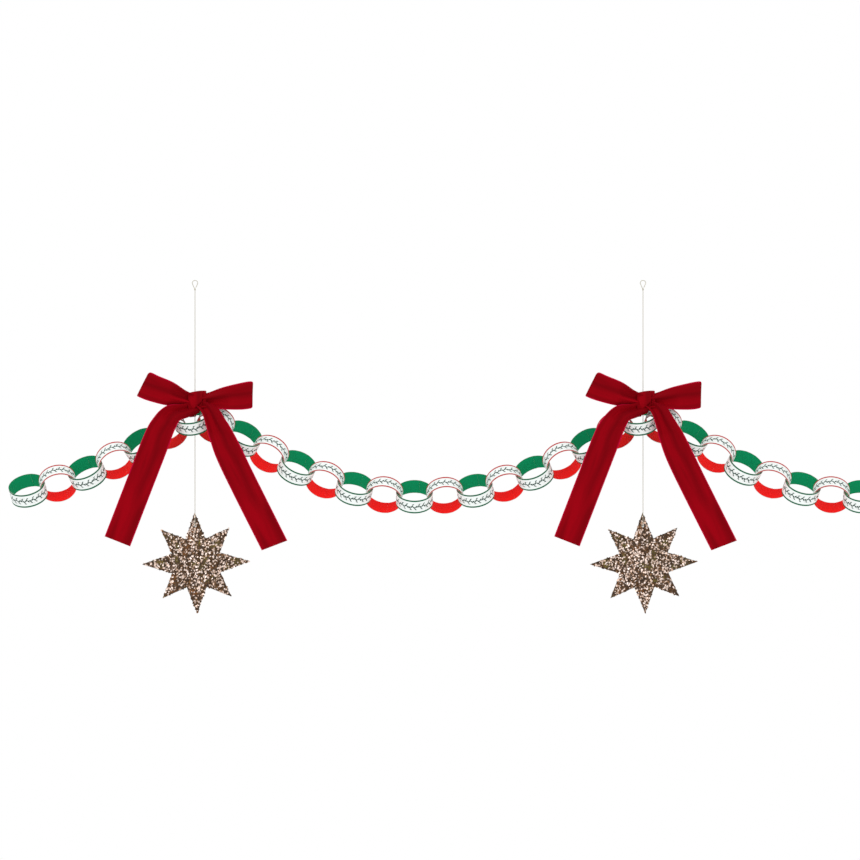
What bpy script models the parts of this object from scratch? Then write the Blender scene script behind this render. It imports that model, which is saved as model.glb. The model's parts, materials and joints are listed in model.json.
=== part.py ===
"""A paper chain garland: card rings hooked through each other in two swags, held up at each peak by a tied
velvet ribbon bow on a hanging thread, with a flat glitter star at the thread's lower end.

Metres, +Z up. The chain runs along X and is seen along +Y. The origin is the top of the left hanging loop.
"""

import math

import bpy
import numpy as np
from mathutils import Matrix, Vector

# Card rings
RING_HALF_LENGTH = 0.0273  # inside, along the chain
RING_HALF_HEIGHT = 0.0256  # inside, across the chain
STRIP_WIDTH = 0.024
CARD = 0.0003
GLUED_OVERLAP = 0.015
RING_SEGMENTS = 26
GREEN_LEAN = math.radians(36)  # how far a ring's own axis leans from upright, turned about X
RED_LEAN = math.radians(-51)
HOOK_CLEARANCE = 0.0007

# The line that the chain hangs in
PEAK_SPACING = 0.672
LINKS_BETWEEN_PEAKS = 16
LINKS_LEFT = 6
LINKS_RIGHT = 8
PEAK_ROUNDING_LEFT = 0.015  # the stiff card rounds the line off over about this length left of a peak
PEAK_ROUNDING_RIGHT = 0.055
PEAK_TILT = math.radians(8)
PEAK_DEPTH = 0.2087  # from the top of the hanging loop down to the peak ring's middle
PEAK_TO_THREAD = 0.0048  # the thread runs this far right of the peak ring's middle
CHAIN_BEHIND_THREAD = 0.011

# Ribbon bow
RIBBON_WIDTH = 0.041
RIBBON = 0.0012
BOW_ABOVE_RING = 0.0267  # from the peak ring's middle up to the knot's middle
KNOT_LEFT, KNOT_RIGHT = -0.0095, 0.0172
KNOT_HALF_HEIGHT = 0.0158
KNOT_HALF_DEPTH = 0.0110
KNOT_Y = -0.006
KNOT_LIFT = 0.0017  # the knot's right end sits this much above its middle, and its left end as much below
PLEATS = 1.5
BAND_STEPS = 6  # faces across a ribbon
FOLD_RADIUS = 0.0034
FOLD_SHARE = 0.90  # the width at the very fold, so that its corners are round
FLAT_FROM = 0.89  # a ribbon that keeps this share of its width has no pleats left
LOOP_REACH_LEFT = 0.078
LOOP_REACH_RIGHT = 0.0865
LOOP_RISE_LEFT = 0.0247
LOOP_RISE_RIGHT = 0.0095
LOOP_BULGE = 0.0035
# Stations of a loop from the knot to its fold, and how wide it is behind as a share of its width in front,
# from the fold inwards
LOOP_STATIONS = (0.0, 0.18, 0.45, 0.78)
BACK_KEEPS = (0.98, 0.84, 0.74, 0.80)
TAIL_CLEARANCE = 0.0025
BEHIND_LOOP = 0.011  # depth of the room behind a loop's front face that the tails are cut clear of
STRAP_WIDTH = 0.010
STRAP_ROOM = 0.0032  # half the space inside the strap where it rounds the ring's lower edge
SEAT_GAP = 0.0003
STRAP_CLEARANCE = 0.0005

# Hanging thread
THREAD = 0.0012
LOOP_HEIGHT = 0.014
LOOP_HALF_WIDTH = 0.0042
KNOT_SWELL = 2.6  # a thread knot's thickness in thread diameters
THREAD_BEND = 0.0026

# Glitter star
STAR_UPRIGHT_REACH = 0.0758
STAR_SIDE_REACH = 0.0810
STAR_DIAGONAL_REACH = 0.0730
STAR_NOTCH = 0.0390
STAR_THICKNESS = 0.003
STAR_MIDDLE_DEPTH = 0.4245
HOLE_BELOW_TIP = 0.020
HOLE_RADIUS = 0.0022
STAR_TURN = math.radians(1.5)  # its right point hangs the higher

HALF_STRIP = STRIP_WIDTH / 2
BAND_OUTSIDE = RING_HALF_HEIGHT + 2 * CARD
HOLE_DEPTH = STAR_MIDDLE_DEPTH - STAR_UPRIGHT_REACH + HOLE_BELOW_TIP


def clear_scene():
    for obj in list(bpy.data.objects):
        bpy.data.objects.remove(obj, do_unlink=True)


def material(name, colour, roughness, metallic=0.0):
    made = bpy.data.materials.new(name)
    made.use_nodes = True
    shader = made.node_tree.nodes["Principled BSDF"]
    shader.inputs["Base Color"].default_value = (*colour, 1.0)
    shader.inputs["Roughness"].default_value = roughness
    shader.inputs["Metallic"].default_value = metallic
    return made


def mesh_object(name, mesh, finish):
    obj = bpy.data.objects.new(name, mesh)
    bpy.context.scene.collection.objects.link(obj)
    if not mesh.materials:
        mesh.materials.append(finish)
    return obj


def mesh_of(name, points, faces, smooth_under=math.radians(40)):
    """A mesh from points and faces. Points in one place are made one, and faces that shrink to a line go."""
    index, kept, where = {}, [], []
    for point in points:
        key = tuple(round(value, 8) for value in point)
        if key not in index:
            index[key] = len(kept)
            kept.append(tuple(point))
        where.append(index[key])
    solid = []
    for face in faces:
        corners = list(dict.fromkeys(where[i] for i in face))
        if len(corners) > 2:
            solid.append(corners)
    mesh = bpy.data.meshes.new(name)
    mesh.from_pydata(kept, [], solid)
    mesh.validate()
    mesh.shade_smooth()
    mesh.set_sharp_from_angle(angle=smooth_under)
    return mesh


# Card ring: a strip wound once and glued where its ends lap


def lap_angle():
    """The glued lap as an angle about the ring's middle, at the side where the ends meet."""
    return GLUED_OVERLAP / RING_HALF_LENGTH


def ring_stations():
    """Angle, inner offset and outer offset of each station round the ring. The lap is centred on the top."""
    start = math.pi / 2 - lap_angle() / 2
    end = math.pi / 2 + lap_angle() / 2
    rise = 1.5 * math.pi / RING_SEGMENTS
    rows = [(start, 0.0, 2 * CARD), (end, 0.0, 2 * CARD), (end, 0.0, CARD)]
    plain = RING_SEGMENTS - 3
    for k in range(1, plain + 1):
        angle = end + (2 * math.pi - lap_angle() - rise) * k / plain
        rows.append((angle, 0.0, CARD))
    rows.append((start + 2 * math.pi, CARD, 2 * CARD))
    middle = (math.pi / 2, 0.0, 2 * CARD)
    return [rows[0], middle] + rows[1:]


def ellipse(angle, offset):
    """A point of the ring's section: the inner ellipse, moved out along its own normal."""
    x, y = RING_HALF_LENGTH * math.cos(angle), RING_HALF_HEIGHT * math.sin(angle)
    out = Vector((x / RING_HALF_LENGTH**2, y / RING_HALF_HEIGHT**2)).normalized()
    return x + out.x * offset, y + out.y * offset


def ring_mesh(name):
    rows = ring_stations()
    points, faces = [], []
    for side in (-HALF_STRIP, HALF_STRIP):
        for angle, inner, outer in rows:
            points.append((*ellipse(angle, inner), side))
            points.append((*ellipse(angle, outer), side))
    count = len(rows)
    top = 2 * count
    for k in range(count):
        a, b = 2 * k, 2 * ((k + 1) % count)
        faces.append((a, b, b + 1, a + 1))
        faces.append((top + a, top + a + 1, top + b + 1, top + b))
        faces.append((a, top + a, top + b, b))
        faces.append((a + 1, b + 1, top + b + 1, top + a + 1))
    return mesh_of(name, points, faces)


# Hanging line: rings hooked one after another, each as far from the last as the card allows


def ring_turn(lean, slope):
    return np.array(Matrix.Rotation(-slope, 3, "Y") @ Matrix.Rotation(lean, 3, "X"))


def end_edges(side):
    """Points along both edges of the strip, inside, round one end of the ring."""
    angles = np.radians(np.arange(-62, 63, 2.0))
    if side < 0:
        angles = angles + math.pi
    edge = [RING_HALF_LENGTH * np.cos(angles), RING_HALF_HEIGHT * np.sin(angles)]
    low = np.stack(edge + [np.full(angles.size, -HALF_STRIP)], 1)
    high = np.stack(edge + [np.full(angles.size, HALF_STRIP)], 1)
    return np.concatenate([low, high])


RIGHT_END, LEFT_END = end_edges(1), end_edges(-1)


def room(points, turn, middle):
    """The least distance from points in the world to the inside of a ring, or 1 if none is near."""
    local = (points - middle) @ turn
    near = np.abs(local[:, 2]) < HALF_STRIP + HOOK_CLEARANCE
    if not near.any():
        return 1.0
    x, y = local[near, 0], local[near, 1]
    share = np.sqrt((x / RING_HALF_LENGTH) ** 2 + (y / RING_HALF_HEIGHT) ** 2)
    return float(((1 - share) * np.hypot(x, y) / np.maximum(share, 0.2)).min())


def pitch(left_turn, right_turn, along):
    """How far apart two hooked rings hang, so that their cards clear each other by HOOK_CLEARANCE."""
    near, far = 1.2 * RING_HALF_LENGTH, 2 * RING_HALF_LENGTH
    for _ in range(18):
        middle = (near + far) / 2
        away = along * middle
        gap = room(away + LEFT_END @ right_turn.T, left_turn, np.zeros(3))
        gap = min(gap, room(RIGHT_END @ left_turn.T, right_turn, away))
        if gap > HOOK_CLEARANCE:
            near = middle
        else:
            far = middle
    return near


def rounded(run, rounding):
    """A length along X from a peak, shortened near the peak so that the line passes over it level."""
    return math.hypot(run, rounding) - rounding


def swag(x, sag):
    """Height and slope of the chain's line, a parabola from peak to peak with its peaks rounded."""
    run = (x + PEAK_SPACING / 2) % PEAK_SPACING - PEAK_SPACING / 2
    rounding = PEAK_ROUNDING_LEFT if run < 0 else PEAK_ROUNDING_RIGHT
    span = 2 * rounded(PEAK_SPACING / 2, rounding)
    share = rounded(run, rounding) / span
    rate = 4 * (1 - 2 * share) / span * run / math.hypot(run, rounding)
    return -4 * sag * share * (1 - share), math.atan(-sag * rate)


def lean_of(step):
    return GREEN_LEAN if step % 2 == 0 else RED_LEAN


def ring_slope(step, x, sag):
    """A ring lies along the line, but a peak ring hangs from its bow at a tilt of its own."""
    if step % LINKS_BETWEEN_PEAKS == 0:
        return PEAK_TILT
    return swag(x, sag)[1]


def next_ring(step, x, sag, way):
    """Where along X the ring after number step hangs, going right or left along the line."""
    here = np.array((x, 0.0, swag(x, sag)[0]))
    slope = ring_slope(step, x, sag)
    turn = ring_turn(lean_of(step), slope)
    length = 1.6 * RING_HALF_LENGTH
    for _ in range(4):
        ahead = x + way * length * math.cos(slope)
        for _ in range(6):
            away = np.array((ahead, 0.0, swag(ahead, sag)[0])) - here
            ahead = x + (ahead - x) * length / np.linalg.norm(away)
        away = np.array((ahead, 0.0, swag(ahead, sag)[0])) - here
        along = away / np.linalg.norm(away)
        other = ring_turn(lean_of(step + way), ring_slope(step + way, ahead, sag))
        if way > 0:
            length = pitch(turn, other, along)
        else:
            length = pitch(other, turn, -along)
    return ahead


def run_of_rings(first, count, sag, way, x=0.0):
    """The rings after number first, as rows of step and x."""
    rows = []
    for k in range(count):
        x = next_ring(first + way * k, x, sag, way)
        rows.append((first + way * (k + 1), x))
    return rows


def hanging_sag():
    """The sag at which the links between the peaks just reach from one peak to the other."""
    low, high = 0.04, 0.5
    for _ in range(14):
        sag = (low + high) / 2
        if run_of_rings(0, LINKS_BETWEEN_PEAKS, sag, 1)[-1][1] > PEAK_SPACING:
            low = sag
        else:
            high = sag
    return low


def chain_rows():
    """Every ring from left to right, as rows of step, x, z and slope. Step 0 is the left peak ring."""
    sag = hanging_sag()
    left = run_of_rings(0, LINKS_LEFT, sag, -1)[::-1]
    between = run_of_rings(0, LINKS_BETWEEN_PEAKS, sag, 1)
    right = run_of_rings(LINKS_BETWEEN_PEAKS, LINKS_RIGHT, sag, 1, x=between[-1][1])
    rows = left + [(0, 0.0)] + between + right
    return [(step, x, swag(x, sag)[0], ring_slope(step, x, sag)) for step, x in rows]


def make_chain(green, red):
    """The rings from left to right. Returns where the two peak rings' middles are."""
    shapes = {0: ring_mesh("green_ring"), 1: ring_mesh("red_ring")}
    finish = {0: green, 1: red}
    word = {0: "green", 1: "red"}
    peaks = {}
    for number, (step, x, z, slope) in enumerate(chain_rows(), 1):
        kind = step % 2
        obj = mesh_object(f"{word[kind]}_link_{number:02d}", shapes[kind], finish[kind])
        obj.location = (x - PEAK_TO_THREAD, CHAIN_BEHIND_THREAD, z - PEAK_DEPTH)
        obj.rotation_euler = (lean_of(step), -slope, 0.0)
        if step in (0, LINKS_BETWEEN_PEAKS):
            peaks["left" if step == 0 else "right"] = obj.location.copy()
    return peaks


# Ribbon bow: pleated bands of one ribbon, gathered into a knot


def smooth(rows, per_span):
    """Rows of numbers, with rows filled in between them on a Catmull-Rom curve."""
    data = np.array(rows, float)
    ends = np.concatenate([[2 * data[0] - data[1]], data, [2 * data[-1] - data[-2]]])
    found = []
    for k in range(len(data) - 1):
        p0, p1, p2, p3 = ends[k : k + 4]
        for step in range(per_span):
            t = step / per_span
            cubic = (3 * (p1 - p2) + p3 - p0) * t**3
            found.append(0.5 * (2 * p1 + (p2 - p0) * t + (2 * p0 - 5 * p1 + 4 * p2 - p3) * t**2 + cubic))
    return np.array(found + [data[-1]])


def pleat_height(share):
    """How deep the pleats are that leave this share of the ribbon's width."""
    if share > FLAT_FROM:
        return 0.0
    return RIBBON_WIDTH * share / (math.pi * PLEATS) * math.sqrt(1 / share - 1)


def band(name, rows, thickness=RIBBON, rim=0.0):
    """A closed strip of ribbon. A row is x, y, z, its width's angle in the XZ plane and its gathered share.
    A rim widens it at both edges, past the outermost pleat."""
    columns = [(j / BAND_STEPS - 0.5, 0.0) for j in range(BAND_STEPS + 1)]
    if rim:
        columns = [(-0.5, -rim)] + columns + [(0.5, rim)]
    across = len(columns) - 1
    path = smooth(rows, 1)
    middles = [Vector(row[:3]) for row in path]
    points = []
    for k, row in enumerate(path):
        ahead = (middles[min(k + 1, len(path) - 1)] - middles[max(k - 1, 0)]).normalized()
        side = Vector((math.cos(row[3]), 0.0, math.sin(row[3])))
        out = ahead.cross(side).normalized()
        height = pleat_height(row[4])
        for face in (-0.5, 0.5):
            for t, extra in columns:
                wave = height * math.sin(2 * math.pi * PLEATS * t)
                reach = t * RIBBON_WIDTH * row[4] + extra
                points.append(middles[k] + side * reach + out * (wave + face * thickness))
    ring = list(range(across + 1)) + list(range(2 * across + 1, across, -1))
    size = 2 * (across + 1)
    faces = [ring[::-1], [size * (len(path) - 1) + i for i in ring]]
    for k in range(len(path) - 1):
        for a, b in zip(ring, ring[1:] + ring[:1]):
            faces.append((size * k + a, size * k + b, size * (k + 1) + b, size * (k + 1) + a))
    return mesh_of(name, points, faces)


def loop_rows(way, reach, rise, end_angle, start_angle, shares):
    """A bow loop: out from the knot in front, round the fold and back behind."""
    front, back = KNOT_Y - 0.45 * KNOT_HALF_DEPTH, KNOT_Y + 0.45 * KNOT_HALF_DEPTH
    root = KNOT_LEFT if way < 0 else KNOT_RIGHT
    fold = way * reach
    rows = []
    for t, share in zip(LOOP_STATIONS, shares):
        x = root * 0.3 + (fold - root * 0.3) * t
        bulge = LOOP_BULGE * math.sin(math.pi * t)
        angle = start_angle + (end_angle - start_angle) * t
        rows.append((x, front - bulge, rise * t, angle, share))
    half = (front + back) / 2
    inset = fold - way * FOLD_RADIUS
    turn = [(inset, half - FOLD_RADIUS, 1.0), (fold, half, FOLD_SHARE), (inset, half + FOLD_RADIUS, 1.0)]
    bend = [(x, y, rise, end_angle, share) for x, y, share in turn]
    behind = []
    for (x, y, z, angle, share), kept in zip(rows[::-1], BACK_KEEPS):
        lift = RIBBON_WIDTH * share * (1 - kept) / 2
        behind.append((x, 2 * half - y, z + lift, angle, share * kept))
    return rows + bend + behind


LEFT_SHARES = (0.52, 0.60, 0.88, 0.98)
RIGHT_SHARES = (0.50, 0.54, 0.80, 0.98)
FRONT_ROWS = len(LEFT_SHARES)
LEFT_LOOP = loop_rows(-1, LOOP_REACH_LEFT, LOOP_RISE_LEFT, math.radians(64), math.radians(84), LEFT_SHARES)
RIGHT_LOOP = loop_rows(1, LOOP_REACH_RIGHT, LOOP_RISE_RIGHT, math.radians(88), math.radians(96), RIGHT_SHARES)

# Tail rows hold x and z from the knot's middle in ribbon widths, the width's angle in degrees, the gathered
# share, and how far forward the ribbon has come: 0 is the knot's own depth and 1 is just clear of the chain.
LEFT_TAIL = (
    (0.10, -0.20, -62, 0.46, 0.30),
    (-0.34, -0.34, -52, 0.54, 0.62),
    (-0.80, -0.46, -42, 0.74, 1.10),
    (-1.15, -0.93, -33, 0.93, 1.10),
    (-1.41, -1.51, -25, 1.0, 1.0),
    (-1.96, -2.93, -21, 1.0, 1.0),
    (-2.80, -5.11, -21.5, 1.0, 1.0),
)
RIGHT_TAIL = (
    (0.20, -0.05, 18, 0.50, 0.30),
    (0.54, -0.29, 24, 0.60, 0.95),
    (0.76, -0.73, 22, 0.72, 1.15),
    (1.01, -1.29, 18, 0.90, 1.12),
    (1.29, -1.95, 23, 0.99, 1.04),
    (1.83, -3.07, 26, 1.0, 1.0),
    (2.93, -5.26, 21, 1.0, 1.0),
)


def chain_front():
    """How far the green rings reach in front of the thread."""
    reach = BAND_OUTSIDE * math.cos(GREEN_LEAN) + HALF_STRIP * math.sin(GREEN_LEAN)
    return CHAIN_BEHIND_THREAD - reach


def tail_rows(rows):
    front = chain_front() - TAIL_CLEARANCE - RIBBON / 2
    found = []
    for x, z, angle, share, forward in rows:
        y = KNOT_Y + (front - KNOT_Y) * forward
        found.append((x * RIBBON_WIDTH, y, z * RIBBON_WIDTH, math.radians(angle), share))
    return found


def knot_mesh(name, grown=0.0):
    """The wrapped knot: a short barrel along X with soft creases."""
    stations, around = 9, 14
    half_depth, half_height = KNOT_HALF_DEPTH + grown, KNOT_HALF_HEIGHT + grown
    left, length = KNOT_LEFT - grown, KNOT_RIGHT - KNOT_LEFT + 2 * grown
    points = []
    for k in range(stations):
        t = k / (stations - 1)
        swell = 0.80 + 0.20 * math.sin(math.pi * t) ** 0.6 + 0.035 * math.cos(5 * math.pi * t)
        lift = KNOT_LIFT * (2 * t - 1)
        for j in range(around):
            angle = 2 * math.pi * j / around
            y = KNOT_Y + half_depth * swell * math.cos(angle)
            z = lift + half_height * swell * math.sin(angle)
            points.append((left + length * t, y, z))
    faces = [tuple(range(around))[::-1], tuple(range(around * (stations - 1), around * stations))]
    for k in range(stations - 1):
        for j in range(around):
            a, b = around * k + j, around * k + (j + 1) % around
            faces.append((a, b, b + around, a + around))
    return mesh_of(name, points, faces)


def ring_plane_point(v, w):
    """A point in the peak ring's middle section: v out across the ring, w along its own axis."""
    y = v * math.cos(GREEN_LEAN) - w * math.sin(GREEN_LEAN)
    z = v * math.sin(GREEN_LEAN) + w * math.cos(GREEN_LEAN)
    return y + CHAIN_BEHIND_THREAD, z - BOW_ABOVE_RING


def strap_rows():
    """The ribbon's turn round the peak ring's back card: down behind the card and back through the ring."""
    card_middle = RING_HALF_HEIGHT + CARD
    low = -HALF_STRIP - STRAP_CLEARANCE - RIBBON / 2 + STRAP_ROOM
    outer, inner = card_middle + STRAP_ROOM, card_middle - STRAP_ROOM
    route = [ring_plane_point(outer, w) for w in (HALF_STRIP, 0.0, low)]
    for degrees in (-45, -90, -135):
        turn = math.radians(degrees)
        v, w = card_middle + STRAP_ROOM * math.cos(turn), low + STRAP_ROOM * math.sin(turn)
        route.append(ring_plane_point(v, w))
    route += [ring_plane_point(inner, w) for w in (low, 0.0)]
    back = KNOT_Y + 0.4 * KNOT_HALF_DEPTH
    top = [(back, 0.30 * KNOT_HALF_HEIGHT), (KNOT_Y + 1.25 * KNOT_HALF_DEPTH, 0.16 * KNOT_HALF_HEIGHT)]
    foot = [(KNOT_Y + 1.15 * KNOT_HALF_DEPTH, -0.55 * KNOT_HALF_HEIGHT), (back, -0.45 * KNOT_HALF_HEIGHT)]
    share = STRAP_WIDTH / RIBBON_WIDTH
    return [(-PEAK_TO_THREAD, y, z, 0.0, share) for y, z in top + route + foot]


def strap_mesh():
    """The strap is folded narrow and flat, so it has no pleats of its own. It leans with the peak ring."""
    path = smooth(strap_rows(), 2)
    lean = Matrix.Rotation(-PEAK_TILT, 3, "Y")
    ring_middle = Vector((-PEAK_TO_THREAD, CHAIN_BEHIND_THREAD, -BOW_ABOVE_RING))
    points, faces = [], []
    for k, row in enumerate(path):
        ahead = Vector(path[min(k + 1, len(path) - 1)][:3]) - Vector(path[max(k - 1, 0)][:3])
        out = ahead.normalized().cross(Vector((1, 0, 0)))
        for x, face in ((-0.5, -0.5), (0.5, -0.5), (0.5, 0.5), (-0.5, 0.5)):
            point = Vector(row[:3]) + Vector((x * STRAP_WIDTH, 0, 0)) + out * (face * RIBBON)
            points.append(ring_middle + lean @ (point - ring_middle))
    for k in range(len(path) - 1):
        for j in range(4):
            a, b = 4 * k + j, 4 * k + (j + 1) % 4
            faces.append((a, b, b + 4, a + 4))
    last = 4 * (len(path) - 1)
    faces += [(3, 2, 1, 0), (last, last + 1, last + 2, last + 3)]
    return mesh_of("strap", points, faces)


def helper(mesh, finish):
    obj = mesh_object(mesh.name + "_helper", mesh, finish)
    obj.hide_render = True
    obj.display_type = "WIRE"
    return obj


def boolean(obj, other, operation):
    modifier = obj.modifiers.new(other.name, "BOOLEAN")
    modifier.operation = operation
    modifier.solver = "EXACT"
    modifier.object = other


def drill(name, radius, reach, sides, turn):
    """A round cutter through the origin. It stands along Z until it is turned."""
    points, faces = [], [tuple(range(sides))[::-1], tuple(range(sides, 2 * sides))]
    for z in (-reach, reach):
        for k in range(sides):
            angle = 2 * math.pi * k / sides
            points.append(turn @ Vector((radius * math.cos(angle), radius * math.sin(angle), z)))
    faces += [(k, (k + 1) % sides, sides + (k + 1) % sides, sides + k) for k in range(sides)]
    return mesh_of(name, points, faces)


def behind_loop(name, rows):
    """The room that a loop's front layer takes with all that is behind it, for cutting a tail clear of it."""
    back = BEHIND_LOOP / 2 - RIBBON / 2 - SEAT_GAP
    shifted = [(x, y + back, *rest) for x, y, *rest in rows[:FRONT_ROWS]]
    return band(name, shifted, BEHIND_LOOP, 3 * SEAT_GAP)


def solid_parts():
    """The meshes that a bow is built from, about the knot's middle on the thread's line."""
    tails = {"left": LEFT_TAIL, "right": RIGHT_TAIL}
    return {
        "knot": knot_mesh("knot"),
        "joined": [band("loop_left", LEFT_LOOP), band("loop_right", RIGHT_LOOP), strap_mesh()],
        "bore": drill("thread_bore", THREAD / 2 + SEAT_GAP, 1.5 * KNOT_HALF_HEIGHT, 12, Matrix.Identity(3)),
        "around_knot": knot_mesh("around_knot", SEAT_GAP),
        "tails": {way: band("tail_" + way, tail_rows(rows)) for way, rows in tails.items()},
        "behind": [behind_loop("behind_left", LEFT_LOOP), behind_loop("behind_right", RIGHT_LOOP)],
    }


def cut(obj, meshes, operation, finish):
    """Joins meshes to an object or cuts them from it. They share its parent and place."""
    for mesh in meshes:
        tool = helper(mesh, finish)
        tool.parent = obj.parent
        boolean(obj, tool, operation)


def make_bow(side, place, parts, velvet):
    parent = bpy.data.objects.new("bow_place_" + side, None)
    bpy.context.scene.collection.objects.link(parent)
    parent.location = place
    bow = mesh_object("bow_" + side, parts["knot"], velvet)
    bow.parent = parent
    cut(bow, parts["joined"], "UNION", velvet)
    cut(bow, [parts["bore"]], "DIFFERENCE", velvet)
    for way, mesh in parts["tails"].items():
        tail = mesh_object(f"bow_{side}_tail_{way}", mesh, velvet)
        tail.parent = parent
        cut(tail, [parts["around_knot"]] + parts["behind"], "DIFFERENCE", velvet)


def make_bows(peaks, velvet):
    parts = solid_parts()
    for side, peak in peaks.items():
        place = Vector((peak.x + PEAK_TO_THREAD, 0.0, peak.z + BOW_ABOVE_RING))
        make_bow(side, place, parts, velvet)


# Thread with its hanging loop and knots


def thread_route(drop):
    """Rows of x, y, z and thickness from the end of the hanging loop down to the knot behind the star."""
    base = -LOOP_HEIGHT
    rows = [(THREAD * 1.05, 0.0, base + 2.1 * THREAD, 1.0)]
    for degrees in range(0, 181, 20):
        turn = math.radians(degrees)
        x = LOOP_HALF_WIDTH * math.cos(turn)
        rows.append((x, 0.0, -LOOP_HALF_WIDTH + LOOP_HALF_WIDTH * math.sin(turn) - THREAD / 2, 1.0))
    rows.append((-THREAD * 0.9, 0.0, base + 1.6 * THREAD, 1.0))
    rows += [(0.0, 0.0, base + 0.6 * THREAD, KNOT_SWELL * 0.8), (0.0, 0.0, base, KNOT_SWELL)]
    rows += [(0.0, 0.0, base - 0.8 * THREAD, KNOT_SWELL * 0.8), (0.0, 0.0, base - 1.8 * THREAD, 1.0)]
    steps = 16
    top, low = base - 3.5 * THREAD, -drop + THREAD_BEND
    rows += [(0.0, 0.0, top + (low - top) * k / steps, 1.0) for k in range(steps + 1)]
    for degrees in (30, 60, 90):
        turn = math.radians(degrees)
        y, z = THREAD_BEND * (1 - math.cos(turn)), -THREAD_BEND * math.sin(turn)
        rows.append((0.0, y, low + z, 1.0))
    back = THREAD / 2 + SEAT_GAP + STAR_THICKNESS
    rows += [(0.0, back, -drop, 1.0), (0.0, back + SEAT_GAP + 0.4 * THREAD, -drop, KNOT_SWELL)]
    rows += [(0.0, back + SEAT_GAP + 1.4 * THREAD, -drop, KNOT_SWELL), (0.0, back + 2.3 * THREAD, -drop, 0.8)]
    return rows


def make_thread(name, place, finish):
    rows = thread_route(HOLE_DEPTH)
    curve = bpy.data.curves.new(name, "CURVE")
    curve.dimensions = "3D"
    curve.bevel_depth = THREAD / 2
    curve.bevel_resolution = 2
    curve.use_fill_caps = True
    spline = curve.splines.new("POLY")
    spline.points.add(len(rows) - 1)
    for point, (x, y, z, thickness) in zip(spline.points, rows):
        point.co = (x, y, z, 1.0)
        point.radius = thickness
    obj = bpy.data.objects.new(name, curve)
    bpy.context.scene.collection.objects.link(obj)
    curve.materials.append(finish)
    obj.location = (place, 0.0, 0.0)


# Glitter star: a flat card star hung from a punched hole


def star_mesh():
    """An eight-pointed star about its hole, its front face at y = 0."""
    middle = -(STAR_UPRIGHT_REACH - HOLE_BELOW_TIP)
    outline = []
    for k in range(16):
        angle = math.pi / 2 + k * math.pi / 8
        reach = STAR_NOTCH
        if k % 8 == 0:
            reach = STAR_UPRIGHT_REACH
        elif k % 8 == 4:
            reach = STAR_SIDE_REACH
        elif k % 2 == 0:
            reach = STAR_DIAGONAL_REACH
        outline.append((reach * math.cos(angle), middle + reach * math.sin(angle)))
    points = [(x, y, z) for y in (0.0, STAR_THICKNESS) for x, z in outline]
    faces = [tuple(range(16)), tuple(range(16, 32))[::-1]]
    faces += [((k + 1) % 16, k, 16 + k, 16 + (k + 1) % 16) for k in range(16)]
    return mesh_of("star", points, faces)


def make_star(name, place, mesh, hole, finish):
    obj = mesh_object(name, mesh, finish)
    obj.location = (place, THREAD / 2 + SEAT_GAP, -HOLE_DEPTH)
    obj.rotation_euler = (0.0, -STAR_TURN, 0.0)
    cutter = helper(hole, finish)
    cutter.location = obj.location
    boolean(obj, cutter, "DIFFERENCE")


def main():
    clear_scene()
    green = material("green_card", (0.012, 0.235, 0.092), 0.62)
    red = material("red_card", (0.92, 0.018, 0.012), 0.62)
    velvet = material("crimson_velvet", (0.26, 0.002, 0.006), 0.9)
    twine = material("metallic_thread", (0.62, 0.60, 0.54), 0.45, 0.5)
    glitter = material("champagne_glitter", (0.42, 0.34, 0.24), 0.35, 0.8)
    peaks = make_chain(green, red)
    make_bows(peaks, velvet)
    star = star_mesh()
    hole = drill("star_hole", HOLE_RADIUS, 3 * STAR_THICKNESS, 16, Matrix.Rotation(math.pi / 2, 3, "X"))
    for side, peak in peaks.items():
        line = peak.x + PEAK_TO_THREAD
        make_thread("hanging_thread_" + side, line, twine)
        make_star("star_" + side, line, star, hole, glitter)


main()
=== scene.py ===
# %% [markdown]
# A paper chain garland hangs in a swag between two peaks and runs on past both. Its card rings are wound from
# printed strips, green inside or red inside, each hooked through the next. At each peak a velvet ribbon is
# tied round one ring, and a glitter star hangs below it on a thread. This lesson loads the measured solids,
# which stay where they are, and dresses each of them with a finer mesh and a material made of nodes.
# Everything is in metres, with Z up.

# %% Load the frame
import json
import math

import bpy
import numpy as np
from mathutils import Matrix, Vector


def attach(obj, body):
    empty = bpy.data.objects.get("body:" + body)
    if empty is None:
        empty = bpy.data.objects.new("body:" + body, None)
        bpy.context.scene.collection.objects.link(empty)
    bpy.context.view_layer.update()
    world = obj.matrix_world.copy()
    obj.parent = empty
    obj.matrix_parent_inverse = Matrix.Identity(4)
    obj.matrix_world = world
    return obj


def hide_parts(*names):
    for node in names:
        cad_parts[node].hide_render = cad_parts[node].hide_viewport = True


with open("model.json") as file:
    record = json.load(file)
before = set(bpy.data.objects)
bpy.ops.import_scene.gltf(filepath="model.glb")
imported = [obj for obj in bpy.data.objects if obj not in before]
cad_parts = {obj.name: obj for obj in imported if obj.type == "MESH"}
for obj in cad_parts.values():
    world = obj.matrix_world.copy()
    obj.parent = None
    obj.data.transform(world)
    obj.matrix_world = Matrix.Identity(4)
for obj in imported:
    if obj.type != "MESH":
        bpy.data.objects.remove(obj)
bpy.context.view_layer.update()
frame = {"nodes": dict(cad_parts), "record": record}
nodes = frame["nodes"]
print("solids loaded:", len(nodes))

# %% [markdown]
# The garland is a wide, shallow thing seen straight on from far away, so a long lens six metres off shows it
# with almost no perspective. One width of the picture takes in 1.29 m. The camera comes first, because it
# decides how much detail each piece needs.

# %% Camera
MM = 0.001
PICTURE_WIDTH = 1.29
PICTURE_MIDDLE = Vector((0.3525, 0.0, -0.225))
CAMERA_DISTANCE = 6.0
SENSOR = 36.0
FARTHEST_SEEN = 50.0

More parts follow.
